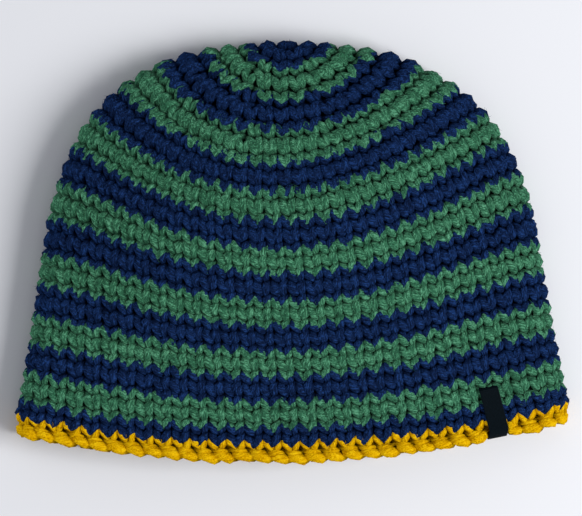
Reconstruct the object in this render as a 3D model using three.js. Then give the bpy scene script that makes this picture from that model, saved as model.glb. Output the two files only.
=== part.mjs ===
// A striped crochet beanie lying flat on a table, crown towards +Y and brim towards -Y.
// It is crocheted in rounds from the crown's middle to the brim. Every stripe is two rounds of one
// yarn, the last navy one is a single round, and a mustard round edges the brim. A ribbon label is
// folded over the brim. Each stripe is a closed band of the hollow hat.
import * as THREE from "three";

// Driving dimensions, in millimetres.
const brimWidth = 265; // across the brim as it lies
const hatLength = 202; // from the crown's fold to the middle of the brim
const wall = 6.5; // thickness of the crocheted fabric
const foldInside = 3.5; // inner radius of the fold that runs round the outline
const puffHeight = 38; // how far the upper layer swells above the folded edge
const puffSpan = 100; // distance in from the fold over which it swells
const brimTilt = 2.9; // the lower rounds lie this much nearer the crown at the right, farther at the left
const crownDrift = 2.6; // the crown's middle lies this far to the left of the brim's
const ribDepth = 0.7; // dip between two stripes
const seamGap = 0.3; // clearance between neighbouring solids
const edgeRounding = 0.8; // how far the brim's shoulders lie under the faces of the fabric
const labelWidth = 9.3;
const labelThickness = 1;
const labelFront = 28.5; // length of the label's outer flap, from its fold at the brim
const labelBack = 14; // length of its inner flap
const labelLean = 4.5; // its outer flap's upper end lies this far nearer the brim's middle
const labelInset = 40; // from the brim's right fold to the label's middle, along the brim
const labelPinch = 3; // how far the label pulls the brim's edge in

// Rounds of crochet, counted from the crown's middle.
const roundsPerStripe = 2;
const stripePairs = 7; // green and navy stripes below the crown's navy middle
const lastNavyRounds = 1;
const edgingRounds = 1;
const edgingStart = roundsPerStripe * 2 * stripePairs + lastNavyRounds;
const brimRound = edgingStart + edgingRounds;

// The flat outline, one row for each section. "step" counts the way from the crown's middle down to
// the brim in even parts; "half" is the section's half width as a share of the brim's; "reach" is how
// far its middle lies from the crown's fold, and "rise" how much nearer to it the ends lie, both as
// shares of the length; "bow" is the power of its curve, "skew" how far its left half sags and its right
// half is raised, as a share of the length, and "puff" its swelling as a share of the puff height.
const sections = [
  { step: 0, half: 0.0, reach: 0.0, rise: 0.0, bow: 0.6, skew: 0.0, puff: 1.0 },
  { step: 2, half: 0.138, reach: 0.057, rise: 0.052, bow: 0.58, skew: 0.003, puff: 1.0 },
  { step: 4, half: 0.284, reach: 0.132, rise: 0.113, bow: 0.69, skew: 0.009, puff: 1.0 },
  { step: 6, half: 0.445, reach: 0.206, rise: 0.16, bow: 0.68, skew: 0.021, puff: 1.0 },
  { step: 8, half: 0.592, reach: 0.283, rise: 0.183, bow: 0.91, skew: 0.029, puff: 1.0 },
  { step: 10, half: 0.703, reach: 0.3535, rise: 0.1875, bow: 0.98, skew: 0.031, puff: 1.0 },
  { step: 12, half: 0.783, reach: 0.424, rise: 0.181, bow: 1.17, skew: 0.021, puff: 0.98 },
  { step: 14, half: 0.838, reach: 0.4925, rise: 0.1675, bow: 1.34, skew: 0.012, puff: 0.93 },
  { step: 16, half: 0.874, reach: 0.55, rise: 0.143, bow: 1.36, skew: 0.001, puff: 0.86 },
  { step: 18, half: 0.897, reach: 0.6145, rise: 0.1235, bow: 1.43, skew: 0.001, puff: 0.77 },
  { step: 20, half: 0.915, reach: 0.671, rise: 0.108, bow: 1.39, skew: 0.003, puff: 0.67 },
  { step: 22, half: 0.933, reach: 0.733, rise: 0.096, bow: 1.38, skew: 0.006, puff: 0.56 },
  { step: 24, half: 0.949, reach: 0.791, rise: 0.087, bow: 1.33, skew: 0.004, puff: 0.46 },
  { step: 26, half: 0.968, reach: 0.852, rise: 0.081, bow: 1.13, skew: 0.002, puff: 0.36 },
  { step: 28, half: 0.985, reach: 0.912, rise: 0.077, bow: 0.97, skew: 0.004, puff: 0.26 },
  { step: 29, half: 1.0, reach: 0.945, rise: 0.078, bow: 0.97, skew: 0.003, puff: 0.21 },
  { step: 30, half: 0.992, reach: 1.0, rise: 0.076, bow: 1.0, skew: 0.0, puff: 0.17 },
];

// The shares of the way down between which the tilt of the rounds sets in.
const tiltFrom = 0.27;
const tiltTo = 0.6;

// The edging's outer face. "at" is a share of its height, "sunk" of the edge's rounding, and "pulled"
// is the share of the label's pull that it follows.
const edgeShape = [
  { at: 0.5, sunk: 0, pulled: 0.3 },
  { at: 0.75, sunk: 1, pulled: 0.8 },
];

// Facets: steps across one fold and across one flat layer, and the points of a finely traced round.
const foldSteps = 3;
const layerSteps = 20;
const foldShare = 0.06; // share of a layer's length that each fold takes
const traceSteps = 160;
const outlineStep = 0.25; // rounds between two points of the traced outline
const outlineOverrun = 2; // rounds past the brim, so that its corners see a straight fold

const colours = {
  green: { color: 0x3d7a57, roughness: 0.95 },
  navy: { color: 0x15264f, roughness: 0.95 },
  mustard: { color: 0xdca50a, roughness: 0.9 },
  label: { color: 0x0a0f14, roughness: 0.6 },
};

// A column of the section table at any round, on a smooth curve through its rows.
function sectionValue(column, round) {
  const last = sections.length - 1;
  const step = (round / brimRound) * sections[last].step;
  const above = sections.findIndex((s) => s.step > step) - 1;
  const i = above < 0 ? last - 1 : above;
  const slope = (j) => {
    const a = sections[Math.max(0, j - 1)];
    const b = sections[Math.min(last, j + 1)];
    return (b[column] - a[column]) / (b.step - a.step);
  };
  const from = sections[i];
  const to = sections[i + 1];
  const span = to.step - from.step;
  const u = (step - from.step) / span;
  if (u > 1) return to[column] + (step - to.step) * slope(i + 1);
  const rising = u * u * (3 - 2 * u);
  return (
    from[column] * (1 - rising) +
    to[column] * rising +
    span * (slope(i) * u * (1 - u) ** 2 - slope(i + 1) * u * u * (1 - u))
  );
}

// A round seen from above; t runs from -1 at its left fold to 1 at its right fold.
function planPoint(round, t) {
  const half = (sectionValue("half", round) * brimWidth) / 2;
  const rise = sectionValue("rise", round) * hatLength;
  const middle = hatLength / 2 - sectionValue("reach", round) * hatLength;
  const way = round / brimRound;
  const drift = crownDrift * (1 - way);
  const tilt = brimTilt * THREE.MathUtils.smoothstep(way, tiltFrom, tiltTo);
  const sag = Math.max(0, 1 - t * t) ** sectionValue("bow", round);
  const skew = sectionValue("skew", round) * hatLength * t * (1 - t * t);
  return new THREE.Vector2(half * t - drift, middle + rise * (1 - sag) + tilt * t + skew);
}

// The folded outline from the left brim corner over the crown to the right one.
const outline = [];
for (let r = brimRound + outlineOverrun; r > 0; r -= outlineStep) outline.push(planPoint(r, -1));
for (let r = 0; r <= brimRound + outlineOverrun; r += outlineStep) outline.push(planPoint(r, 1));

function distanceFromFold(p) {
  let best = Infinity;
  for (let i = 1; i < outline.length; i++) {
    const a = outline[i - 1];
    const b = outline[i];
    const dx = b.x - a.x;
    const dy = b.y - a.y;
    const along = ((p.x - a.x) * dx + (p.y - a.y) * dy) / (dx * dx + dy * dy || 1);
    const u = THREE.MathUtils.clamp(along, 0, 1);
    best = Math.min(best, Math.hypot(p.x - a.x - u * dx, p.y - a.y - u * dy));
  }
  return best;
}

// One round traced finely: its upper layer from right to left, then its lower layer back again, each
// with the distance run so far.
const foldRadius = wall + foldInside;
const traced = new Map();
function tracedRound(round) {
  if (traced.has(round)) return traced.get(round);
  const upper = [];
  const lower = [];
  const puff = sectionValue("puff", round) * puffHeight;
  for (let i = 0; i <= traceSteps; i++) {
    const p = planPoint(round, Math.cos((Math.PI * i) / traceSteps));
    const inset = distanceFromFold(p);
    const turned = Math.min(1, inset / foldRadius);
    const lift = foldRadius * Math.sqrt(1 - (1 - turned) ** 2);
    const swell = puff * Math.sin((Math.PI / 2) * Math.min(1, inset / puffSpan));
    upper.push(new THREE.Vector3(p.x, p.y, foldRadius + lift + swell));
    lower.push(new THREE.Vector3(p.x, p.y, foldRadius - lift));
  }
  const layers = [upper, lower.reverse()].map((points) => {
    const run = [0];
    for (let i = 1; i < points.length; i++) run.push(run[i - 1] + points[i].distanceTo(points[i - 1]));
    return { points, run };
  });
  traced.set(round, layers);
  return layers;
}

// A point of a round; share runs from 0 to 1 over the upper layer and from 1 to 2 over the lower one.
function roundPoint(round, share) {
  const wrapped = THREE.MathUtils.euclideanModulo(share, 2);
  const { points, run } = tracedRound(round)[wrapped < 1 ? 0 : 1];
  const wanted = (wrapped % 1) * run[run.length - 1];
  let i = 1;
  while (i < run.length - 1 && run[i] < wanted) i++;
  const u = (wanted - run[i - 1]) / (run[i] - run[i - 1] || 1);
  return points[i - 1].clone().lerp(points[i], u);
}

// The fabric's outer face, its outward direction and its direction down towards the brim.
const shareStep = 0.004;
const roundStep = 0.05;
function fabricAt(round, share) {
  const position = roundPoint(round, share);
  if (round === 0) {
    return { position, outward: new THREE.Vector3(0, 1, 0), down: new THREE.Vector3(0, 0, 1) };
  }
  const around = roundPoint(round, share + shareStep).sub(roundPoint(round, share - shareStep));
  const down = roundPoint(round + roundStep, share).sub(roundPoint(round - roundStep, share)).normalize();
  return { position, outward: around.cross(down).normalize(), down };
}

// Places around a round: close together over the folds, even over the layers, and the label covers
// exactly one of the steps.
const layerLength = tracedRound(brimRound)[0].run[traceSteps];
const labelShare = labelInset / layerLength;
const labelHalfShare = labelWidth / 2 / layerLength;
const shares = [];
for (const layer of [0, 1]) {
  for (let i = 0; i < foldSteps; i++) shares.push(layer + (foldShare * i) / foldSteps);
  for (let i = 0; i < layerSteps; i++) {
    shares.push(layer + foldShare + ((1 - 2 * foldShare) * i) / layerSteps);
  }
  for (let i = 0; i < foldSteps; i++) shares.push(layer + 1 - foldShare * (1 - i / foldSteps));
}
for (const edge of [labelShare - labelHalfShare, labelShare + labelHalfShare]) {
  const gaps = shares.map((s) => Math.abs(s - edge));
  shares[gaps.indexOf(Math.min(...gaps))] = edge;
}

// The pull of the label on the brim's edge, from 0 away from it to 1 under it.
const pullReach = 3; // how far it is felt, in half widths of the label
function labelPull(share) {
  const away = Math.abs(share - labelShare);
  return 1 - THREE.MathUtils.smoothstep(away, labelHalfShare, labelHalfShare * pullReach);
}

function closedGeometry(vertices, triangles) {
  const geometry = new THREE.BufferGeometry();
  geometry.setAttribute("position", new THREE.Float32BufferAttribute(vertices, 3));
  geometry.setIndex(triangles);
  geometry.computeVertexNormals();
  return geometry;
}

// A band of fabric as a closed solid: a profile of rounds and depths is carried around the hat. Depth
// runs from 0 at the outer face to the wall's thickness at the inner one. A profile point at round 0 is
// the crown's middle, where the band closes to a point.
function bandGeometry(profile) {
  const vertices = [];
  const rows = profile.map(({ round, depth, shift = 0, pull = 0 }) => {
    const row = round === 0 ? [0] : shares;
    const first = vertices.length / 3;
    for (const share of row) {
      const flat = fabricAt(round, share);
      // On the table the dips between the stripes are pressed flat.
      const pressed = THREE.MathUtils.smoothstep(flat.position.z, 0, foldRadius);
      const sunk = depth < wall / 2 ? depth * pressed : depth;
      const point = flat.position
        .addScaledVector(flat.outward, -sunk)
        .addScaledVector(flat.down, shift - pull * labelPull(share));
      vertices.push(point.x, point.y, point.z);
    }
    return { first, count: row.length };
  });
  const faces = [];
  const addFace = (...corners) => {
    if (new Set(corners).size === 3) faces.push(...corners);
  };
  const at = (row, j) => row.first + (row.count > 1 ? j % row.count : 0);
  const pairs = rows[0].count > 1 ? rows.length : rows.length - 1;
  for (let i = 0; i < pairs; i++) {
    const next = (i + 1) % rows.length;
    const [a, b] = [rows[i], rows[next]];
    // Neighbouring bands split the facing quads along the same diagonal, so they stay clear.
    const towardsFace = profile[i].depth > profile[next].depth;
    for (let j = 0; j < shares.length; j++) {
      if (towardsFace) {
        addFace(at(a, j), at(a, j + 1), at(b, j + 1));
        addFace(at(a, j), at(b, j + 1), at(b, j));
      } else {
        addFace(at(a, j), at(a, j + 1), at(b, j));
        addFace(at(a, j + 1), at(b, j + 1), at(b, j));
      }
    }
  }
  return closedGeometry(vertices, faces);
}

function namedMesh(name, geometry, colour) {
  const material = new THREE.MeshStandardMaterial({ ...colours[colour], metalness: 0 });
  const mesh = new THREE.Mesh(geometry, material);
  mesh.name = name;
  return mesh;
}

// Each band stops half of the clearance short of its neighbours.
const halfSeam = seamGap / 2;

function stripe(name, colour, from, to) {
  const profile = [
    { round: from, depth: ribDepth, shift: halfSeam },
    { round: (from + to) / 2, depth: 0 },
    { round: to, depth: ribDepth, shift: -halfSeam },
    { round: to, depth: wall, shift: -halfSeam },
    { round: from, depth: wall, shift: halfSeam },
  ];
  return namedMesh(name, bandGeometry(profile), colour);
}

// The navy disc in the crown's middle, closed at its centre inside and out.
function crownDisc() {
  const rim = roundsPerStripe;
  const profile = [
    { round: 0, depth: 0 },
    { round: rim / 2, depth: 0 },
    { round: rim, depth: ribDepth, shift: -halfSeam },
    { round: rim, depth: wall, shift: -halfSeam },
    { round: rim / 2, depth: wall },
    { round: 0, depth: wall },
  ];
  return namedMesh("crown_disc", bandGeometry(profile), "navy");
}

// The edging, with a rounded lower edge that the label pulls in.
function brimEdging() {
  const outer = edgeShape.map(({ at, sunk, pulled }) => ({
    round: edgingStart + edgingRounds * at,
    depth: edgeRounding * sunk,
    pull: labelPinch * pulled,
  }));
  const shoulder = outer[outer.length - 1];
  const profile = [
    { round: edgingStart, depth: ribDepth, shift: halfSeam },
    ...outer,
    { round: brimRound, depth: wall / 2, pull: labelPinch },
    { ...shoulder, depth: wall - shoulder.depth },
    { round: edgingStart, depth: wall, shift: halfSeam },
  ];
  return namedMesh("brim_edging", bandGeometry(profile), "mustard");
}

// The round that lies a length of fabric above the brim.
function roundAbove(share, length) {
  let round = brimRound;
  let left = length;
  let stepLength = 1;
  while (left > 0 && round > 0) {
    stepLength = roundPoint(round, share).distanceTo(roundPoint(round - roundStep, share));
    left -= stepLength;
    round -= roundStep;
  }
  return round - (roundStep * left) / stepLength;
}

// The label: a ribbon up the outside, round the brim's edge and up the inside.
function brimLabel() {
  const turnSteps = 6;
  const flapSteps = 4;
  const turnRadius = wall / 2 + seamGap;
  const turnLength = turnRadius + labelThickness;
  const foldInset = labelPinch - seamGap - labelThickness;
  const fabricUnder = (border, length) => {
    const lean = (labelLean * length) / labelFront / layerLength;
    const share = labelShare + border * labelHalfShare + lean;
    return fabricAt(roundAbove(share, length + foldInset), share);
  };
  // One border of the ribbon, as a closed line round its two faces.
  const borderLine = (border) => {
    const turn = fabricUnder(border, turnLength);
    const faces = [turnRadius, turnRadius + labelThickness].map((radius) => {
      const points = [];
      for (let i = 0; i < flapSteps; i++) {
        const length = labelFront + ((turnLength - labelFront) * i) / flapSteps;
        const under = fabricUnder(border, length);
        points.push(under.position.addScaledVector(under.outward, radius - wall / 2));
      }
      for (let i = 0; i <= turnSteps; i++) {
        const angle = (Math.PI * i) / turnSteps;
        const out = radius * Math.cos(angle) - wall / 2;
        const point = turn.position.clone().addScaledVector(turn.outward, out);
        points.push(point.addScaledVector(turn.down, radius * Math.sin(angle)));
      }
      for (let i = 1; i <= flapSteps; i++) {
        const length = turnLength + ((labelBack - turnLength) * i) / flapSteps;
        const under = fabricUnder(border, length);
        points.push(under.position.addScaledVector(under.outward, -radius - wall / 2));
      }
      return points;
    });
    return [...faces[1], ...faces[0].reverse()];
  };
  const lines = [borderLine(-1), borderLine(1)];
  const count = lines[0].length;
  const vertices = lines.flat().flatMap((p) => [p.x, p.y, p.z]);
  const triangles = [];
  for (let j = 0; j < count; j++) {
    const k = (j + 1) % count;
    triangles.push(j, count + j, k, count + j, count + k, k);
  }
  for (let j = 0; j < count / 2 - 1; j++) {
    const inner = count - 1 - j;
    triangles.push(j, j + 1, inner, j + 1, inner - 1, inner);
    triangles.push(count + j, count + inner, count + j + 1);
    triangles.push(count + j + 1, count + inner, count + inner - 1);
  }
  return namedMesh("brim_label", closedGeometry(vertices, triangles), "label");
}

const beanie = new THREE.Group();
beanie.add(crownDisc());
for (let pair = 1; pair <= stripePairs; pair++) {
  const start = roundsPerStripe * (2 * pair - 1);
  const turn = start + roundsPerStripe;
  const end = pair < stripePairs ? turn + roundsPerStripe : turn + lastNavyRounds;
  beanie.add(stripe("green_stripe_" + pair, "green", start, turn));
  beanie.add(stripe("navy_stripe_" + pair, "navy", turn, end));
}
beanie.add(brimEdging());
beanie.add(brimLabel());

// The origin is under the middle of the hat, on the table.
const bounds = new THREE.Box3().setFromObject(beanie);
beanie.position.set(-(bounds.min.x + bounds.max.x) / 2, -(bounds.min.y + bounds.max.y) / 2, 0);

export default beanie;
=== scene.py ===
# Crochet beanie lying flat, worked in striped rounds from the crown to the brim. Every stitch is
# modelled as yarn on the surface of the hat. Lengths in the tables are in millimetres.
import math

import bpy
import numpy as np
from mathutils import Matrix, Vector


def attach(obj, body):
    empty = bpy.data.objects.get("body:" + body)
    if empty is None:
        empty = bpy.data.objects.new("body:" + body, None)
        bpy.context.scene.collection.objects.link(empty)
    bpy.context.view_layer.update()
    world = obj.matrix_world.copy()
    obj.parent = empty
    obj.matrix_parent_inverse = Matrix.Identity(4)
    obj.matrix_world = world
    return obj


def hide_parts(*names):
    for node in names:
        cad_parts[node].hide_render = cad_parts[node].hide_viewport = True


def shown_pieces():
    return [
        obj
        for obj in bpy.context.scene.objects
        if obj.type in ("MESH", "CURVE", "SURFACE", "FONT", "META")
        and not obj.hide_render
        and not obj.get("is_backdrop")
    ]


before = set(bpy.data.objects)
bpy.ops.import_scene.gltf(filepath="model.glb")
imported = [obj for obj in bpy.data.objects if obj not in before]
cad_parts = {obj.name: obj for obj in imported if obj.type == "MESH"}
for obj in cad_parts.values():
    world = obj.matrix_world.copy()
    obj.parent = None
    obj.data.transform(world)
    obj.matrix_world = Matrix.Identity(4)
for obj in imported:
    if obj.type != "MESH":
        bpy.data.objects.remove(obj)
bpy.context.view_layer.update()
bpy.ops.object.select_all(action="DESELECT")
metre = 0.001
print("frame loaded")


# The hat's surface

hat = {
    "brimWidth": 265,
    "length": 202,  # from the crown's fold to the middle of the brim
    "wall": 6.5,  # thickness of the fabric
    "foldRadius": 10,  # of the fold that runs round the outline
    "puffHeight": 38,  # how far the upper layer swells above the folded edge
    "puffSpan": 100,  # distance in from the fold over which it swells
    "brimTilt": 2.9,  # the lower rounds lie this much nearer the crown at the right
    "tiltFrom": 0.27,  # shares of the way down between which the tilt sets in
    "tiltTo": 0.6,
    "crownDrift": 2.6,  # the crown's middle lies this far to the left of the brim's
    "brimRound": 30,  # the last round
}

# step down from the crown, half width, reach, rise, bow, skew and puff of each section
columns = {"half": 1, "reach": 2, "rise": 3, "bow": 4, "skew": 5, "puff": 6}
sections = np.array([
    (0, 0.0, 0.0, 0.0, 0.6, 0.0, 1.0),
    (2, 0.138, 0.057, 0.052, 0.58, 0.003, 1.0),
    (4, 0.284, 0.132, 0.113, 0.69, 0.009, 1.0),
    (6, 0.445, 0.206, 0.16, 0.68, 0.021, 1.0),
    (8, 0.592, 0.283, 0.183, 0.91, 0.029, 1.0),
    (10, 0.703, 0.3535, 0.1875, 0.98, 0.031, 1.0),
    (12, 0.783, 0.424, 0.181, 1.17, 0.021, 0.98),
    (14, 0.838, 0.4925, 0.1675, 1.34, 0.012, 0.93),
    (16, 0.874, 0.55, 0.143, 1.36, 0.001, 0.86),
    (18, 0.897, 0.6145, 0.1235, 1.43, 0.001, 0.77),
    (20, 0.915, 0.671, 0.108, 1.39, 0.003, 0.67),
    (22, 0.933, 0.733, 0.096, 1.38, 0.006, 0.56),
    (24, 0.949, 0.791, 0.087, 1.33, 0.004, 0.46),
    (26, 0.968, 0.852, 0.081, 1.13, 0.002, 0.36),
    (28, 0.985, 0.912, 0.077, 0.97, 0.004, 0.26),
    (29, 1.0, 0.945, 0.078, 0.97, 0.003, 0.21),
    (30, 0.992, 1.0, 0.076, 1.0, 0.0, 0.17),
])


def sectionValue(column, rounds):
    steps = sections[:, 0]
    values = sections[:, columns[column]]
    below = np.maximum(np.arange(len(steps)) - 1, 0)
    above = np.minimum(np.arange(len(steps)) + 1, len(steps) - 1)
    slopes = (values[above] - values[below]) / (steps[above] - steps[below])
    i = np.clip(np.searchsorted(steps, rounds, side="right") - 1, 0, len(steps) - 2)
    span = steps[i + 1] - steps[i]
    u = (rounds - steps[i]) / span
    past = np.maximum(u - 1, 0)  # the brim's last rows run on straight
    u = np.minimum(u, 1)
    rising = u * u * (3 - 2 * u)
    curve = values[i] * (1 - rising) + values[i + 1] * rising
    curve += span * (slopes[i] * u * (1 - u) ** 2 - slopes[i + 1] * u * u * (1 - u))
    return curve + past * span * slopes[i + 1]


def smoothStep(x, low, high):
    u = np.clip((x - low) / (high - low), 0, 1)
    return u * u * (3 - 2 * u)


def planPoint(rounds, t):
    half = sectionValue("half", rounds) * hat["brimWidth"] / 2
    rise = sectionValue("rise", rounds) * hat["length"]
    middle = hat["length"] / 2 - sectionValue("reach", rounds) * hat["length"]
    way = rounds / hat["brimRound"]
    tilt = hat["brimTilt"] * smoothStep(way, hat["tiltFrom"], hat["tiltTo"])
    sag = np.maximum(0, 1 - t * t) ** sectionValue("bow", rounds)
    skew = sectionValue("skew", rounds) * hat["length"] * t * (1 - t * t)
    x = half * t - hat["crownDrift"] * (1 - way)
    return np.stack([x, middle + rise * (1 - sag) + tilt * t + skew], -1)


# The outline runs on past the brim, so that the open end doesn't count as a fold.
outlineRounds = np.arange(0, 32.01, 0.25)


def distanceFromFold(points):
    leftSide = planPoint(outlineRounds[:0:-1], -1.0)
    outline = np.concatenate([leftSide, planPoint(outlineRounds, 1.0)])
    best = np.full(points.shape[:-1], 1e9)
    for a, b in zip(outline[:-1], outline[1:]):
        along = ((points - a) @ (b - a)) / max((b - a) @ (b - a), 1e-9)
        nearest = a + np.clip(along, 0, 1)[..., None] * (b - a)
        best = np.minimum(best, np.linalg.norm(points - nearest, axis=-1))
    return best


# The surface is worked out once on a grid of rounds by places around: its outer face and the
# direction out of it. Places run from 0 to 1 over the upper layer, right to left, and on to 2.
gridStep = 0.25
gridRounds = np.arange(0, 31.01, gridStep)
layerPlaces = 240
tracePoints = 161
placeStep = 0.004  # to a neighbouring point, where a direction on the surface is wanted
roundStep = 0.05


def surfaceGrid():
    t = np.cos(np.linspace(0, math.pi, tracePoints))
    rows = gridRounds[:, None]
    plan = planPoint(rows, t[None, :])
    inset = distanceFromFold(plan)
    turned = np.minimum(1, inset / hat["foldRadius"])
    lift = hat["foldRadius"] * np.sqrt(1 - (1 - turned) ** 2)
    rise = sectionValue("puff", rows) * hat["puffHeight"]
    swell = rise * np.sin(math.pi / 2 * np.minimum(1, inset / hat["puffSpan"]))
    upper = np.concatenate([plan, (hat["foldRadius"] + lift + swell)[..., None]], -1)
    lower = np.concatenate([plan, (hat["foldRadius"] - lift)[..., None]], -1)[:, ::-1]
    grid = np.zeros((len(gridRounds), 2 * layerPlaces, 3))
    for r in range(len(gridRounds)):
        for layer, line in enumerate((upper[r], lower[r])):
            run = np.concatenate([[0], np.cumsum(np.linalg.norm(np.diff(line, axis=0), axis=1))])
            wanted = np.linspace(0, run[-1], layerPlaces, endpoint=False)
            for axis in range(3):
                places = slice(layer * layerPlaces, (layer + 1) * layerPlaces)
                grid[r, places, axis] = np.interp(wanted, run, line[:, axis])
    box = grid[gridRounds <= hat["brimRound"]].reshape(-1, 3)
    grid[..., :2] -= (box.min(0) + box.max(0))[:2] / 2
    around = np.roll(grid, -1, axis=1) - np.roll(grid, 1, axis=1)
    down = np.gradient(grid, axis=0)
    outward = np.cross(around, down)
    outward[0] = (0, 1, 0)
    outward /= np.linalg.norm(outward, axis=-1, keepdims=True) + 1e-12
    return grid, outward


outerFace, outwards = surfaceGrid()


def onGrid(values, rounds, places):
    r = np.clip(rounds, 0, gridRounds[-1] - 1e-6) / gridStep
    p = np.mod(places, 2) * layerPlaces
    r0 = r.astype(int)
    p0 = p.astype(int) % (2 * layerPlaces)
    fr = (r - r0)[..., None]
    fp = (p - np.floor(p))[..., None]
    p1 = (p0 + 1) % (2 * layerPlaces)
    top = values[r0, p0] * (1 - fp) + values[r0, p1] * fp
    bottom = values[r0 + 1, p0] * (1 - fp) + values[r0 + 1, p1] * fp
    return top * (1 - fr) + bottom * fr


# A point of the fabric, "out" millimetres outside its middle layer.
def fabricPoint(rounds, places, out):
    outward = onGrid(outwards, rounds, places)
    outward /= np.linalg.norm(outward, axis=-1, keepdims=True)
    middle = onGrid(outerFace, rounds, places)
    return middle + outward * (np.asarray(out)[..., None] - hat["wall"] / 2), outward


# The ribbon label is folded over the brim. It presses the stitches down and pulls the brim in.
label = {
    "width": 9.3,
    "thickness": 0.9,
    "inset": 40,  # from the brim's right fold to the label's middle
    "front": 28.5,  # length of the flap outside
    "back": 14,  # length of the flap inside
    "overEdge": 4.5,  # length taken by the fold between them
    "lean": 4.5,  # the outer flap's upper end lies this far nearer the brim's middle
    "clearance": 0.3,  # from the fabric's faces
    "foldInset": 1.7,  # the fold lies this far up from the surface's end
    "straightFrom": 4.6,  # from here to its end the outer flap lies straight
    "straightOut": 4.0,
    "pinch": 2.8,  # how far the brim is drawn in
    "pullAside": 1.5,  # the pull's middle lies this far nearer the brim's middle
    "pullFrom": 0.9,  # the pull fades between these, in half widths of the label
    "pullTo": 1.8,
    "pullToBelow": 4.5,  # the lower layer follows more widely
    "tuckFrom": 26.88,  # above this round the upper end goes in between the stitches
    "tuckTo": 26.5,
    "tuckDepth": 4.2,
    "stitchesUnder": 3.3,  # how far out the stitches under it may stand
    "pressEdge": 1.5,  # beside it they rise again over this width
    "pressStart": 0.3,  # rounds over which the pressing sets in
    "across": 8,  # faces
    "along": 72,
    "bevel": 0.25,
    "smoothAngle": 40,
}
brimRow = int(hat["brimRound"] / gridStep)
brimLine = outerFace[brimRow, :layerPlaces + 1]
layerLength = np.linalg.norm(np.diff(brimLine, axis=0), axis=1).sum()
labelPlace = label["inset"] / layerLength
labelHalf = label["width"] / 2 / layerLength


def pulledIn(rounds, places):
    # the brim is drawn in at the label, the lower layer's over a wider stretch
    place = np.mod(places, 2)
    aside = label["pullAside"] / layerLength
    away = np.abs(np.where(place > 1, 2 - place, place) - labelPlace - aside)
    reach = np.where(place > 1, label["pullToBelow"], label["pullTo"])
    pull = 1 - smoothStep(away, labelHalf * label["pullFrom"], labelHalf * reach)
    share = smoothStep(rounds, hat["brimRound"] - 1, hat["brimRound"])
    return rounds - pull * share * label["pinch"] / yarn["roundHeight"]


def pressedUnder(rounds, places, out, radius):
    # the stitches under the label are held down
    above = (hat["brimRound"] - rounds) * yarn["roundHeight"]
    aside = (np.mod(places, 2) - labelPlace) * layerLength - label["lean"] * above / label["front"]
    half = label["width"] / 2
    cover = 1 - smoothStep(np.abs(aside), half, half + label["pressEdge"])
    cover = cover * smoothStep(rounds, label["tuckFrom"] - label["pressStart"], label["tuckFrom"])
    return out - cover * np.maximum(0, out + radius - label["stitchesUnder"])


print("surface worked out")


# Yarn

# The way of the yarn through one stitch of single crochet. "across" counts stitches, to the right on
# the upper layer; "down" counts rounds from the top of the stitch's own round; "out" is from the
# fabric's middle layer; "parts" is the number of steps to the next point.
stitchPath = np.array([
    # across, down, out, radius, parts
    (-0.03, -0.18, -1.4, 1.25, 1),  # through the hole of the round above
    (-0.09, -0.11, 1.1, 1.80, 1),  # over the top of the left leg
    (-0.16, 0.01, 2.0, 2.00, 1),
    (-0.22, 0.16, 2.4, 2.00, 1),
    (-0.24, 0.34, 1.8, 1.85, 1),
    (-0.20, 0.49, -0.4, 1.35, 1),
    (0.10, 0.80, -1.8, 1.20, 1),  # across behind the chain
    (0.60, 0.72, -1.2, 1.30, 1),
    (0.56, 0.56, 0.4, 1.65, 1),  # up the right leg
    (0.42, 0.37, 1.8, 2.05, 1),
    (0.26, 0.14, 2.35, 2.15, 1),
    (0.10, -0.07, 1.7, 2.05, 1),
    (0.02, -0.15, -0.8, 1.25, 1),  # back through the hole
    (0.10, 0.35, -2.3, 1.25, 1),
    (0.10, 0.62, -0.8, 1.45, 1),  # forward again as the chain's front strand
    (0.20, 0.77, 1.1, 1.95, 1),
    (0.36, 0.96, 2.0, 2.10, 1),
    (0.55, 1.22, 1.8, 1.40, 1),  # the tooth over the next round
    (0.69, 0.99, 2.2, 2.05, 1),
    (0.83, 0.80, 1.9, 2.10, 1),
    (0.94, 0.64, 0.4, 1.65, 1),
    (1.05, 0.66, -1.4, 1.25, 1),
    (1.15, 0.95, -2.2, 1.25, 1),  # round the chain's head
    (0.55, 0.92, 0.0, 1.60, 1),  # back strand, up between the tooth's two sides
    (0.28, 0.65, -2.6, 1.25, 1),
    (0.70, 0.10, -2.7, 1.25, 1),
])

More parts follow.
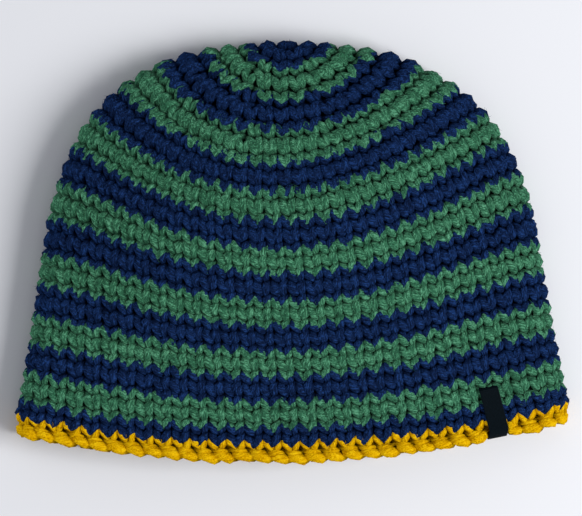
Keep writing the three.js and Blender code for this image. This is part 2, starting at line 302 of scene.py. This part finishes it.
# The edging is one round of thicker yarn, with a chain of fat leaves along the brim.
edgingPath = np.array([
    (-0.05, -0.06, -1.2, 1.20, 1),
    (-0.12, 0.02, 1.0, 1.75, 2),  # left leg
    (-0.19, 0.15, 1.6, 1.90, 1),
    (-0.26, 0.30, 1.4, 1.85, 1),
    (-0.30, 0.45, 0.0, 1.50, 1),
    (-0.05, 0.54, -0.9, 1.30, 1),
    (0.30, 0.50, -0.7, 1.30, 1),
    (0.52, 0.42, 0.2, 1.50, 1),
    (0.39, 0.28, 1.25, 1.75, 1),  # right leg
    (0.23, 0.12, 1.8, 1.95, 1),
    (0.08, 0.00, 1.2, 1.75, 1),
    (0.08, -0.08, -0.6, 1.20, 1),
    (0.12, 0.20, -2.0, 1.20, 1),
    (0.14, 0.42, -1.8, 1.20, 1),
    (0.36, 0.49, 0.0, 1.45, 2),  # the strand along the leaf's upper side
    (0.64, 0.50, 1.3, 1.95, 2),
    (0.96, 0.53, 0.9, 1.70, 1),
    (1.08, 0.62, -0.9, 1.30, 1),
    (0.80, 0.80, -1.8, 1.40, 1),
    (0.42, 0.76, -0.9, 1.60, 1),
    (0.46, 0.68, 0.9, 2.10, 2),  # the leaf along the brim
    (0.82, 0.69, 1.6, 2.95, 2),
    (1.20, 0.79, 1.4, 2.40, 1),
    (1.45, 0.81, 0.0, 1.45, 1),
    (1.30, 0.66, -1.8, 1.20, 1),
    (1.05, 0.25, -2.3, 1.20, 1),
])

yarn = {
    "pitch": 8.3,  # width of a stitch
    "roundHeight": 7.2,
    "sides": 5,
    "fullness": 1.04,  # a tube of so few sides is made a little thicker
    "driftStart": 0.88,
    "driftPerRound": 0.05,  # how far each round's stitches step aside
    "toothAcross": 0.55,  # where the tooth is in its own stitch, and its gap in the next round
    "gapAcross": 0.5,
    "toothLift": 1.1,  # the teeth near the crown's middle stand this much higher
    "toothDrop": 0.12,  # and reach this much further down
    "toothFrom": 6,  # rounds between which that fades
    "toothTo": 15,
    "unevenPlace": 0.03,  # of a stitch
    "unevenWithin": 0.6,  # share of that from point to point of one stitch
    "unevenOut": 0.16,
    "unevenRadius": 0.05,
    "unevenSkin": 0.025,  # of the radius, from point to point
    "twistLength": 15,  # one turn of the twist
    "tableGap": 0.12,
}
# stitches in the crown's first rounds; each later round has as many as the last of them
firstCounts = [6, 12, 18, 24, 32, 40, 50, 60, 64]


def roundCount(number):
    return firstCounts[number - 1] if number <= len(firstCounts) else firstCounts[-1]


def curveThrough(points, parts):
    # a smooth curve through all points; wrapRound has added those before and after
    samples = []
    for i, count in enumerate(parts):
        for j in range(int(count)):
            samples.append((i, j / count))
    index = np.array([s[0] for s in samples])
    t = np.array([s[1] for s in samples])[:, None]
    a, b, c, d = (points[index + k] for k in range(4))
    return 0.5 * (2 * b + (c - a) * t + (2 * a - 5 * b + 4 * c - d) * t ** 2
                  + (3 * b - 3 * c + d - a) * t ** 3)


def wrapRound(control, count):
    # two points more at each end, so that the curve closes on itself
    before = control[-1:] - np.array([count, 0, 0, 0])
    after = control[:2] + np.array([count, 0, 0, 0])
    return np.concatenate([before, control, after])


def steadySide(path):
    # a direction across the yarn at each sample that doesn't twist, closed over one stitch
    control = np.concatenate([path[:, :4] + np.array([k, 0, 0, 0]) for k in range(3)])
    line = curveThrough(wrapRound(control, 3), np.tile(path[:, 4], 3))
    line = line[:, :3] * (yarn["pitch"], yarn["roundHeight"], 1)
    count = len(line) // 3
    line = line[count - 1:2 * count + 2]
    ways = line[1:] - line[:-1]
    ways /= np.linalg.norm(ways, axis=1, keepdims=True)
    tangents = ways[:-1] + ways[1:]
    tangents /= np.linalg.norm(tangents, axis=1, keepdims=True)
    side = np.cross(tangents[0], (0.0, 1.0, 0.3))
    sides = []
    for tangent in tangents:
        side = side - tangent * (side @ tangent)
        side /= np.linalg.norm(side)
        sides.append(side)
    sides = np.array(sides)
    # what is left over after one stitch is shared out along it
    first, last, tangent = sides[0], sides[-1], tangents[0]
    left = math.atan2(np.cross(last, first) @ tangent, last @ first)
    turn = np.linspace(0, left, len(sides))[:-1, None]
    sides, tangents = sides[:-1], tangents[:-1]
    return sides * np.cos(turn) + np.cross(tangents, sides) * np.sin(turn)


def driftOf(number):
    return yarn["driftPerRound"] * number + yarn["driftStart"]


def shiftToGap(number, count):
    # how far each tooth moves aside to go down between two stitches of the next round
    following = roundCount(number + 1)
    tooth = np.arange(count) + yarn["toothAcross"] + driftOf(number)
    below = tooth * following / count - yarn["gapAcross"] - driftOf(number + 1)
    return (np.round(below) - below) * count / following


def stitchedRound(number, path, count, chance):
    # control points of the whole round, each a little uneven
    stitches = np.arange(count)
    within = yarn["unevenPlace"] * yarn["unevenWithin"]
    control = np.repeat(path[None, :, :4], count, axis=0).copy()
    control[:, :, 0] += stitches[:, None]
    control[:, :, 0] += chance.normal(0, yarn["unevenPlace"], (count, 1))
    control[:, :, 0] += chance.normal(0, within, control.shape[:2])
    control[:, :, 1] += chance.normal(0, yarn["unevenPlace"], (count, 1))
    control[:, :, 1] += chance.normal(0, within, control.shape[:2])
    control[:, :, 2] += chance.normal(0, yarn["unevenOut"], control.shape[:2])
    control[:, :, 3] *= 1 + chance.normal(0, yarn["unevenRadius"], control.shape[:2])
    # the points of the tooth move to its gap, and the front ones on both sides of it half as far
    tooth = (path[:, 1] > 0.9) & (path[:, 2] > -1)
    beside = (path[:, 1] > 0.7) & (path[:, 2] > 1) & ~tooth
    shift = shiftToGap(number, count)[:, None]
    control[:, tooth, 0] += shift
    control[:, beside, 0] += shift / 2
    # towards the crown the surface leans away, and the next round would hide the teeth
    lifted = 1 - smoothStep(number, yarn["toothFrom"], yarn["toothTo"])
    control[:, tooth, 1] += yarn["toothDrop"] * lifted
    control[:, tooth, 2] += yarn["toothLift"] * lifted
    flat = wrapRound(control.reshape(-1, 4), count)
    line = curveThrough(flat, np.tile(path[:, 4], count))
    rounds = number - 1 + line[:, 1]
    places = 0.5 - (line[:, 0] + driftOf(number)) * 2 / count  # from the middle of the upper layer
    radius = line[:, 3]
    out = pressedUnder(rounds, places, line[:, 2], radius)
    rounds = pulledIn(rounds, places)
    centre, outward = fabricPoint(rounds, places, out)
    # directions on the surface
    aside = fabricPoint(rounds, places - placeStep, out)[0] - centre
    aside /= np.linalg.norm(aside, axis=1, keepdims=True) + 1e-9
    below = np.cross(aside, outward)
    lower = fabricPoint(rounds + roundStep, places, out)[0] - centre
    below *= np.sign(np.sum(below * lower, axis=1, keepdims=True) + 1e-12)
    tangent = np.roll(centre, -1, axis=0) - np.roll(centre, 1, axis=0)
    tangent /= np.linalg.norm(tangent, axis=1, keepdims=True)
    local = np.tile(steadySide(path), (count, 1))
    side = aside * local[:, :1] + below * local[:, 1:2] + outward * local[:, 2:3]
    side -= tangent * np.sum(side * tangent, axis=1, keepdims=True)
    side /= np.linalg.norm(side, axis=1, keepdims=True)
    return centre, side, np.cross(tangent, side), radius, out, outward


def yarnTube(centre, side, other, radius, out, outward, chance):
    sides = yarn["sides"]
    rings = len(centre)
    angle = np.arange(sides) * 2 * math.pi / sides
    cos = np.cos(angle)[None, :, None]
    sin = np.sin(angle)[None, :, None]
    skin = yarn["fullness"] + chance.normal(0, yarn["unevenSkin"], (rings, sides))
    skin = radius[:, None] * skin
    normal = side[:, None] * cos + other[:, None] * sin
    points = centre[:, None] + skin[..., None] * normal
    run = np.concatenate([[0], np.cumsum(np.linalg.norm(np.diff(centre, axis=0), axis=1))])
    turned = angle[None, :] + run[:, None] * 2 * math.pi / yarn["twistLength"]
    fibre = np.stack([
        np.repeat(run[:, None], sides, 1),
        radius[:, None] * np.cos(turned),
        radius[:, None] * np.sin(turned),
    ], -1)
    # height of the skin above the middle layer, from which the material paints shade deep between the
    # strands
    depth = out[:, None] + radius[:, None] * np.sum(normal * outward[:, None], axis=-1)
    i = np.arange(rings)[:, None]
    j = np.arange(sides)[None, :]
    nextRing = (i + 1) % rings
    nextSide = (j + 1) % sides
    corners = [i * sides + j, i * sides + nextSide, nextRing * sides + nextSide, nextRing * sides + j]
    quads = np.stack(np.broadcast_arrays(*corners), -1).reshape(-1, 4)
    tangent = np.repeat(np.cross(side, other)[:, None], sides, 1)
    skinned = (points.reshape(-1, 3), normal.reshape(-1, 3), tangent.reshape(-1, 3))
    return skinned, fibre.reshape(-1, 3), depth.ravel(), quads


# Loose fibres stand a little off the yarn and soften its outline. Each is a thin bent spike.
fuzz = {
    "perStitch": 12,
    "onEdging": 0.4,  # the smoother yarn has this share of them
    "length": (1.2, 3.2),
    "width": 0.13,
    "root": 0.15,  # they start this deep in the yarn
    "lift": 0.3,  # share of the length by which the tip stands off
    "liftRange": (0.2, 1.6),  # times that
    "sway": 0.5,
    "bend": 0.12,
    "facing": -0.1,  # none where the yarn is turned further in than this
}


def looseFibres(skinned, fibre, depth, outward, count, chance):
    points, normals, tangents = skinned
    facing = np.flatnonzero(np.sum(normals * outward, axis=1) > fuzz["facing"])
    chosen = chance.choice(facing, count)
    start, normal, tangent = points[chosen], normals[chosen], tangents[chosen]
    across = np.cross(normal, tangent)
    length = chance.uniform(*fuzz["length"], (count, 1))
    forward = tangent * chance.choice([-1, 1], (count, 1))
    heading = forward + across * chance.normal(0, fuzz["sway"], (count, 1))
    heading /= np.linalg.norm(heading, axis=1, keepdims=True)
    lift = fuzz["lift"] * chance.uniform(*fuzz["liftRange"], (count, 1))
    bend = across * chance.normal(0, fuzz["bend"], (count, 1))
    middle = start + length * (heading * 0.5 + normal * lift * 0.45 + bend)
    tip = start + length * (heading * 0.9 + normal * lift)
    start = start - normal * fuzz["root"]
    aside = np.cross(heading, normal)
    aside /= np.linalg.norm(aside, axis=1, keepdims=True)
    half = fuzz["width"] / 2
    rings = []
    for centre, size in ((start, 1.0), (middle, 0.8)):
        rings += [centre + way * half * size for way in (aside, -aside, normal * 1.2)]
    made = np.stack(rings + [tip], 1)
    perFibre = made.shape[1]
    base = np.arange(count)[:, None] * perFibre
    quads = np.concatenate([base + np.array(q) for q in ((0, 1, 4, 3), (1, 2, 5, 4), (2, 0, 3, 5))])
    tris = np.concatenate([base + np.array(t) for t in ((3, 4, 6), (4, 5, 6), (5, 3, 6), (0, 2, 1))])
    fibres = np.repeat(fibre[chosen], perFibre, axis=0)
    return made.reshape(-1, 3), fibres, np.repeat(depth[chosen], perFibre), quads, tris


# A thin sheet in the middle of the fabric closes the gaps between the strands. It has the yarn's material,
# and lying deep it takes the darkest painted shade, so it stands in for the shade in the holes.
core = {
    "outer": -2.0,
    "inner": -2.6,
    "around": 240,
    "perRound": 2,
    "crownInset": 0.02,  # rounds that it leaves open at its two ends
    "brimInset": 0.3,
}


def shadedGapSheet(first, last):
    steps = max(1, int(round((last - first) * core["perRound"])))
    rounds = np.linspace(first, last, steps + 1)
    places = np.linspace(0, 2, core["around"], endpoint=False)
    rows = [(r, core["outer"]) for r in rounds] + [(r, core["inner"]) for r in rounds[::-1]]
    points = []
    for r, out in rows:
        r = np.clip(r, core["crownInset"], hat["brimRound"] - core["brimInset"])
        row = pulledIn(np.full(len(places), r), places)
        p, _ = fabricPoint(row, places, np.full(len(places), out))
        points.append(p)
    points = np.concatenate(points)
    i = np.arange(len(rows))[:, None]
    j = np.arange(len(places))[None, :]
    nextRow = (i + 1) % len(rows)
    nextPlace = (j + 1) % len(places)
    n = len(places)
    corners = [i * n + j, i * n + nextPlace, nextRow * n + nextPlace, nextRow * n + j]
    quads = np.stack(np.broadcast_arrays(*corners), -1).reshape(-1, 4)
    depth = np.repeat([out for _, out in rows], n)
    return points, points.copy(), depth, quads, np.zeros((0, 3), int)


def joined(parts):
    points, fibres, depths, quads, tris, start = [], [], [], [], [], 0
    for p, f, d, q, t in parts:
        points.append(p)
        fibres.append(f)
        depths.append(d)
        quads.append(q + start)
        tris.append(t + start)
        start += len(p)
    return [np.concatenate(x) for x in (points, fibres, depths, quads, tris)]


def meshPiece(name, points, fibres, depths, quads, tris):
    points[:, 2] = np.maximum(points[:, 2], yarn["tableGap"])  # pressed flat on the table
    corners = np.concatenate([quads.ravel(), tris.ravel()])
    starts = np.concatenate([np.arange(0, quads.size, 4), quads.size + np.arange(0, tris.size, 3)])
    mesh = bpy.data.meshes.new(name)
    mesh.vertices.add(len(points))
    mesh.vertices.foreach_set("co", (points * metre).ravel())
    mesh.loops.add(len(corners))
    mesh.loops.foreach_set("vertex_index", corners.astype(np.int32))
    mesh.polygons.add(len(starts))
    mesh.polygons.foreach_set("loop_start", starts.astype(np.int32))
    mesh.polygons.foreach_set("use_smooth", np.ones(len(starts), bool))
    mesh.update(calc_edges=True)
    attribute = mesh.attributes.new("fibre", "FLOAT_VECTOR", "POINT")
    attribute.data.foreach_set("vector", fibres.astype(np.float32).ravel())
    attribute = mesh.attributes.new("depth", "FLOAT", "POINT")
    attribute.data.foreach_set("value", depths.astype(np.float32))
    mesh.validate()
    piece = bpy.data.objects.new(name, mesh)
    bpy.context.scene.collection.objects.link(piece)
    return piece


# Materials

def linearColour(code):
    channels = [int(code[i:i + 2], 16) / 255 for i in (1, 3, 5)]
    return tuple(c / 12.92 if c <= 0.04045 else ((c + 0.055) / 1.055) ** 2.4 for c in channels) + (1,)


def addNode(material, kind, settings=None, inputs=None):
    # inputs holds plain values and sockets to link, by the input's name or number
    node = material.node_tree.nodes.new(kind)
    for key, value in (settings or {}).items():
        setattr(node, key, value)
    for key, value in (inputs or {}).items():
        if isinstance(value, bpy.types.NodeSocket):
            material.node_tree.links.new(value, node.inputs[key])
        else:
            node.inputs[key].default_value = value
    return node


def yarnMaterial(name, look):
    material = bpy.data.materials.new(name)
    material.use_nodes = True
    material.node_tree.nodes.clear()
    fibre = addNode(material, "ShaderNodeAttribute", {"attribute_name": "fibre"})
    # fibres lie along the yarn, so the pattern is drawn out along it
    drawn = addNode(material, "ShaderNodeMapping", {}, {
        "Vector": fibre.outputs["Vector"],
        "Scale": (1 / look["fibreLength"], 1 / look["fibreWidth"], 1 / look["fibreWidth"]),
    })
    streaks = addNode(material, "ShaderNodeTexNoise", {}, {
        "Vector": drawn.outputs["Vector"], "Scale": 1.0, "Detail": 3.0, "Roughness": 0.6,
    })
    place = addNode(material, "ShaderNodeTexCoord")
    patches = addNode(material, "ShaderNodeTexNoise", {}, {
        "Vector": place.outputs["Object"], "Scale": 1000 / look["patchSize"], "Detail": 2.0,
    })
    both = addNode(material, "ShaderNodeMath", {"operation": "MULTIPLY_ADD"}, {
        0: patches.outputs["Fac"], 1: look["patchShare"], 2: streaks.outputs["Fac"],
    })
    ramp = addNode(material, "ShaderNodeValToRGB", {}, {"Fac": both.outputs["Value"]})
    stops = ramp.color_ramp.elements
    middle = 0.5 + 0.5 * look["patchShare"]
    stops[0].position = middle - look["spread"]
    stops[0].color = linearColour(look["shade"])
    stops[1].position = middle + look["spread"]
    stops[1].color = linearColour(look["light"])
    between = stops.new(middle)
    between.color = linearColour(look["colour"])
    # painted shade: the colour is darkened by the depth attribute where the yarn lies deep between the
    # strands, where little light gets down
    depth = addNode(material, "ShaderNodeAttribute", {"attribute_name": "depth"})
    lit = addNode(material, "ShaderNodeMapRange", {"interpolation_type": "SMOOTHSTEP"}, {
        "Value": depth.outputs["Fac"], "From Min": look["darkBelow"], "From Max": look["lightAbove"],
        "To Min": look["darkest"], "To Max": 1.0,
    })
    shaded = addNode(material, "ShaderNodeMix", {"data_type": "RGBA", "blend_type": "MULTIPLY"}, {
        0: 1.0, 6: ramp.outputs["Color"], 7: lit.outputs["Result"],
    })
    relief = addNode(material, "ShaderNodeBump", {}, {
        "Height": streaks.outputs["Fac"],
        "Strength": look["relief"],
        "Distance": look["reliefDepth"] * metre,
    })
    shader = addNode(material, "ShaderNodeBsdfPrincipled", {}, {
        "Base Color": shaded.outputs[2],
        "Roughness": look["roughness"],
        "IOR": 1.5,
        "Specular IOR Level": look["specular"],
        "Sheen Weight": look["sheen"],
        "Sheen Roughness": 0.5,
        "Sheen Tint": linearColour(look["light"]),
        "Normal": relief.outputs["Normal"],
    })
    addNode(material, "ShaderNodeOutputMaterial", {}, {"Surface": shader.outputs["BSDF"]})
    return material


# Wool-blend yarn, carded and loosely spun: dull, with fine fibres along the strand and a soft halo.
woolLook = {
    "fibreLength": 2.6, "fibreWidth": 0.62, "patchSize": 4, "patchShare": 0.25, "spread": 0.17,
    "relief": 1.0, "reliefDepth": 0.9, "roughness": 0.9, "specular": 0.1, "sheen": 0.15,
    # darkBelow, lightAbove and darkest set that painted shade: the depths over which the colour darkens,
    # and its darkest share
    "darkBelow": 0.2, "lightAbove": 3.8, "darkest": 0.2,
}
greenWool = yarnMaterial("green_wool_yarn", {
    **woolLook, "colour": "#2c6347", "light": "#5e9f7c", "shade": "#193d2d",
})
navyWool = yarnMaterial("navy_wool_yarn", {
    **woolLook, "colour": "#122243", "light": "#203e74", "shade": "#091126", "sheen": 0.08, "specular": 0.0,
})
# Plied yarn of smoother fibres, brighter and with clear long streaks.
mustardPlied = yarnMaterial("mustard_plied_yarn", {
    **woolLook, "colour": "#d4a205", "light": "#e6be12", "shade": "#a47400",
    "fibreLength": 7.0, "fibreWidth": 0.7, "relief": 0.8, "sheen": 0.0, "specular": 0.0,
    # less painted shade deep in the edging
    "darkBelow": -0.5, "darkest": 0.35,
})
# Satin ribbon, woven of polyester: close fine ribs across it, a flat gloss and firm woven borders.
satinLook = {
    "light": "#081117",
    "shade": "#03080c",
    "spread": 0.2,
    "threadScale": 40,
    "ribSpacing": 0.55,
    "ribRun": 46,  # length of ribbon on which the ribs are spaced
    "ribHeight": 0.25,  # of the border's height
    "selvedge": 0.7,
    "selvedgeSlope": 0.02,  # of the ribbon's width
    "relief": 0.2,
    "roughness": 0.55,
    "specular": 0.03,
}
ribbonSatin = bpy.data.materials.new("black_satin_ribbon")
ribbonSatin.use_nodes = True
ribbonSatin.node_tree.nodes.clear()
ribbonPlace = addNode(ribbonSatin, "ShaderNodeUVMap", {"uv_map": "UVMap"})
ribbonParts = addNode(ribbonSatin, "ShaderNodeSeparateXYZ", {}, {"Vector": ribbonPlace.outputs["UV"]})
ribRun = addNode(ribbonSatin, "ShaderNodeMath", {"operation": "MULTIPLY"}, {
    0: ribbonParts.outputs["Y"], 1: satinLook["ribRun"] / satinLook["ribSpacing"] * 2 * math.pi,
})
ribs = addNode(ribbonSatin, "ShaderNodeMath", {"operation": "SINE"}, {0: ribRun.outputs["Value"]})
fromMiddle = addNode(ribbonSatin, "ShaderNodeMath", {"operation": "SUBTRACT"}, {
    0: ribbonParts.outputs["X"], 1: 0.5,
})
toBorder = addNode(ribbonSatin, "ShaderNodeMath", {"operation": "ABSOLUTE"}, {
    0: fromMiddle.outputs["Value"],
})
borderStart = 0.5 - satinLook["selvedge"] / label["width"]
border = addNode(ribbonSatin, "ShaderNodeMapRange", {}, {
    "Value": toBorder.outputs["Value"],
    "From Min": borderStart - satinLook["selvedgeSlope"],
    "From Max": borderStart,
})
threads = addNode(ribbonSatin, "ShaderNodeTexNoise", {}, {
    "Vector": ribbonPlace.outputs["UV"], "Scale": satinLook["threadScale"], "Detail": 3.0,
})
ribHeight = addNode(ribbonSatin, "ShaderNodeMath", {"operation": "MULTIPLY_ADD"}, {
    0: ribs.outputs["Value"], 1: satinLook["ribHeight"], 2: border.outputs["Result"],
})
ribbonRelief = addNode(ribbonSatin, "ShaderNodeBump", {}, {
    "Height": ribHeight.outputs["Value"], "Strength": 1.0, "Distance": satinLook["relief"] * metre,
})
ribbonTone = addNode(ribbonSatin, "ShaderNodeValToRGB", {}, {"Fac": threads.outputs["Fac"]})
ribbonTone.color_ramp.elements[0].position = 0.5 - satinLook["spread"]
ribbonTone.color_ramp.elements[0].color = linearColour(satinLook["shade"])
ribbonTone.color_ramp.elements[1].position = 0.5 + satinLook["spread"]
ribbonTone.color_ramp.elements[1].color = linearColour(satinLook["light"])
ribbonShade = addNode(ribbonSatin, "ShaderNodeBsdfPrincipled", {}, {
    "Base Color": ribbonTone.outputs["Color"],
    "Roughness": satinLook["roughness"],
    "IOR": 1.5,
    "Specular IOR Level": satinLook["specular"],
    "Normal": ribbonRelief.outputs["Normal"],
})
addNode(ribbonSatin, "ShaderNodeOutputMaterial", {}, {"Surface": ribbonShade.outputs["BSDF"]})
print("materials ready")


# The crocheted stripes

def stripe(name, firstRound, lastRound, path, material, looseness=1.0):
    chance = np.random.default_rng(firstRound * 97 + lastRound)  # each stripe has its own seed
    parts = [shadedGapSheet(firstRound, lastRound)]
    noTriangles = np.zeros((0, 3), int)
    for number in range(firstRound + 1, lastRound + 1):
        count = roundCount(number)
        line = stitchedRound(number, path, count, chance)
        skinned, fibre, depth, quads = yarnTube(*line, chance)
        parts.append((skinned[0], fibre, depth, quads, noTriangles))
        outward = np.repeat(line[-1], yarn["sides"], axis=0)
        loose = int(fuzz["perStitch"] * count * looseness)
        parts.append(looseFibres(skinned, fibre, depth, outward, loose, chance))
    piece = meshPiece(name + "_stitches", *joined(parts))
    piece.data.materials.append(material)
    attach(piece, "root")
    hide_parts(name)


stripes = {
    "pairs": 7,  # green and navy, below the crown's navy middle
    "rounds": 2,  # to a stripe
    "lastNavy": 1,
}
stripe("crown_disc", 0, stripes["rounds"], stitchPath, navyWool)
for pair in range(1, stripes["pairs"] + 1):
    start = stripes["rounds"] * (2 * pair - 1)
    turn = start + stripes["rounds"]
    end = turn + (stripes["rounds"] if pair < stripes["pairs"] else stripes["lastNavy"])
    stripe("green_stripe_" + str(pair), start, turn, stitchPath, greenWool)
    stripe("navy_stripe_" + str(pair), turn, end, stitchPath, navyWool)
edgingStart = hat["brimRound"] - 1
stripe("brim_edging", edgingStart, hat["brimRound"], edgingPath, mustardPlied,
       fuzz["onEdging"])
print("stitches made")


# The label

labelRounds = np.arange(hat["brimRound"], 20, -roundStep)  # from the brim to well above it


def roundAbove(place, length):
    line = onGrid(outerFace, labelRounds, np.full(len(labelRounds), place))
    run = np.concatenate([[0], np.cumsum(np.linalg.norm(np.diff(line, axis=0), axis=1))])
    return np.interp(length, run, labelRounds)


def flapPoint(place, length):
    rounds = np.array([roundAbove(place, length + label["foldInset"])])
    return fabricPoint(rounds, np.array([place]), np.array([label["straightOut"]]))[0][0]


def straightenedPlace(border, place, length):
    # the outer flap lies straight from its end to the brim, over the curve of the rounds
    ends = []
    for end in (label["front"], label["straightFrom"]):
        aside = label["lean"] * end / label["front"] / layerLength
        ends.append(flapPoint(labelPlace + border * labelHalf + aside, end))
    for _ in range(3):
        here = flapPoint(place, length)
        share = (here[1] - ends[1][1]) / (ends[0][1] - ends[1][1])
        place += (here[0] - ends[1][0] - share * (ends[0][0] - ends[1][0])) / layerLength
    return place


def ribbonPoint(border, along):
    # border runs from -1 to 1 over the width, along from the outer flap's end to the inner one's
    turnRadius = hat["wall"] / 2 + label["clearance"] + label["thickness"] / 2
    turnLength = turnRadius + label["thickness"] / 2
    front = label["front"] - turnLength
    turn = math.pi * turnRadius
    length = label["front"] - along if along < front else turnLength + max(0, along - front - turn)
    angle = min(math.pi, max(0, along - front) / turnRadius)
    lean = label["lean"] * length / label["front"]
    place = labelPlace + border * labelHalf + lean / layerLength
    if along < front:
        place = straightenedPlace(border, place, length)
    rounds = roundAbove(place, length + label["foldInset"])
    out = turnRadius * math.cos(angle)
    if angle == 0:
        tucked = smoothStep(label["tuckFrom"] - rounds, 0, label["tuckFrom"] - label["tuckTo"])
        out -= label["tuckDepth"] * tucked
    at, row, height = np.array([place]), np.array([rounds]), np.array([out])
    point = fabricPoint(row, at, height)[0]
    down = fabricPoint(row + roundStep, at, height)[0] - fabricPoint(row - roundStep, at, height)[0]
    down /= np.linalg.norm(down)
    return (point + down * turnRadius * math.sin(angle))[0] * metre


ribbonLength = label["front"] + label["back"] + label["overEdge"]
bpy.ops.object.select_all(action="DESELECT")
bpy.ops.mesh.primitive_grid_add(
    x_subdivisions=label["across"], y_subdivisions=label["along"],
    size=1, location=(0, 0, 0), calc_uvs=True)
ribbon = bpy.context.object
ribbon.name = "brim_label_ribbon"
for vertex in ribbon.data.vertices:
    vertex.co = ribbonPoint(-2 * vertex.co.x, (0.5 + vertex.co.y) * ribbonLength)
bpy.ops.object.modifier_add(type="SOLIDIFY")
ribbon.modifiers[-1].thickness = label["thickness"] * metre
ribbon.modifiers[-1].offset = 0
bpy.ops.object.modifier_apply(modifier=ribbon.modifiers[-1].name)
bpy.ops.object.modifier_add(type="BEVEL")
ribbon.modifiers[-1].width = label["bevel"] * metre
ribbon.modifiers[-1].segments = 2
ribbon.modifiers[-1].limit_method = "ANGLE"
bpy.ops.object.modifier_apply(modifier=ribbon.modifiers[-1].name)
bpy.ops.object.shade_smooth_by_angle(angle=math.radians(label["smoothAngle"]))
ribbon.data.materials.clear()
ribbon.data.materials.append(ribbonSatin)
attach(ribbon, "root")
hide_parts("brim_label")
print("label made")


# Floor, light and camera

studio = {
    "floorSize": 6,  # these are in metres
    "floorColour": "#eff0f4",
    "worldColour": "#eef0f6",
    "worldStrength": 0.42,
    "keyPower": 40,
    "keySize": 1.1,
    "keyPlace": (1.5, -0.3, 1.3),
    "fillPower": 22,
    "fillSize": 1.2,
    "fillPlace": (-1.5, 0.2, 1.4),
    "cameraPlace": (-0.00072, -0.00242, 2.0),
    "lens": 256.1,
}

bpy.ops.object.select_all(action="DESELECT")
bpy.ops.mesh.primitive_plane_add(size=studio["floorSize"], location=(0, 0, 0))
floor = bpy.context.object
floor.name = "studio_floor"
# Matt painted board.
floorPaint = bpy.data.materials.new("matt_pale_board")
floorPaint.use_nodes = True
floorPaint.node_tree.nodes.clear()
boardShade = addNode(floorPaint, "ShaderNodeBsdfPrincipled", {}, {
    "Base Color": linearColour(studio["floorColour"]), "Roughness": 0.8, "Specular IOR Level": 0.2,
})
addNode(floorPaint, "ShaderNodeOutputMaterial", {}, {"Surface": boardShade.outputs["BSDF"]})
floor.data.materials.append(floorPaint)
floor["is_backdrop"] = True

world = bpy.data.worlds.new("soft_studio")
bpy.context.scene.world = world
world.use_nodes = True
sky = world.node_tree.nodes["Background"]
sky.inputs["Color"].default_value = linearColour(studio["worldColour"])
sky.inputs["Strength"].default_value = studio["worldStrength"]


def softLight(name, place, size, power):
    bpy.ops.object.light_add(type="AREA", location=place)
    light = bpy.context.object
    light.name = name
    light.data.energy = power
    light.data.size = size
    light.rotation_euler = (-Vector(place)).to_track_quat("-Z", "Y").to_euler()
    return light


softLight("soft_light_from_the_right", studio["keyPlace"], studio["keySize"], studio["keyPower"])
# a reflector on the left, flagged off the table
fill = softLight("reflector_on_the_left", studio["fillPlace"], studio["fillSize"], studio["fillPower"])
hatOnly = bpy.data.collections.new("hat_only")
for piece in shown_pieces():
    hatOnly.objects.link(piece)
fill.light_linking.receiver_collection = hatOnly

bpy.ops.object.camera_add(location=studio["cameraPlace"], rotation=(0, 0, 0))
camera = bpy.context.object
camera.data.lens = studio["lens"]
camera.data.sensor_width = 36
bpy.context.scene.camera = camera
bpy.context.scene.view_settings.view_transform = "Standard"
print("floor, light and camera ready")
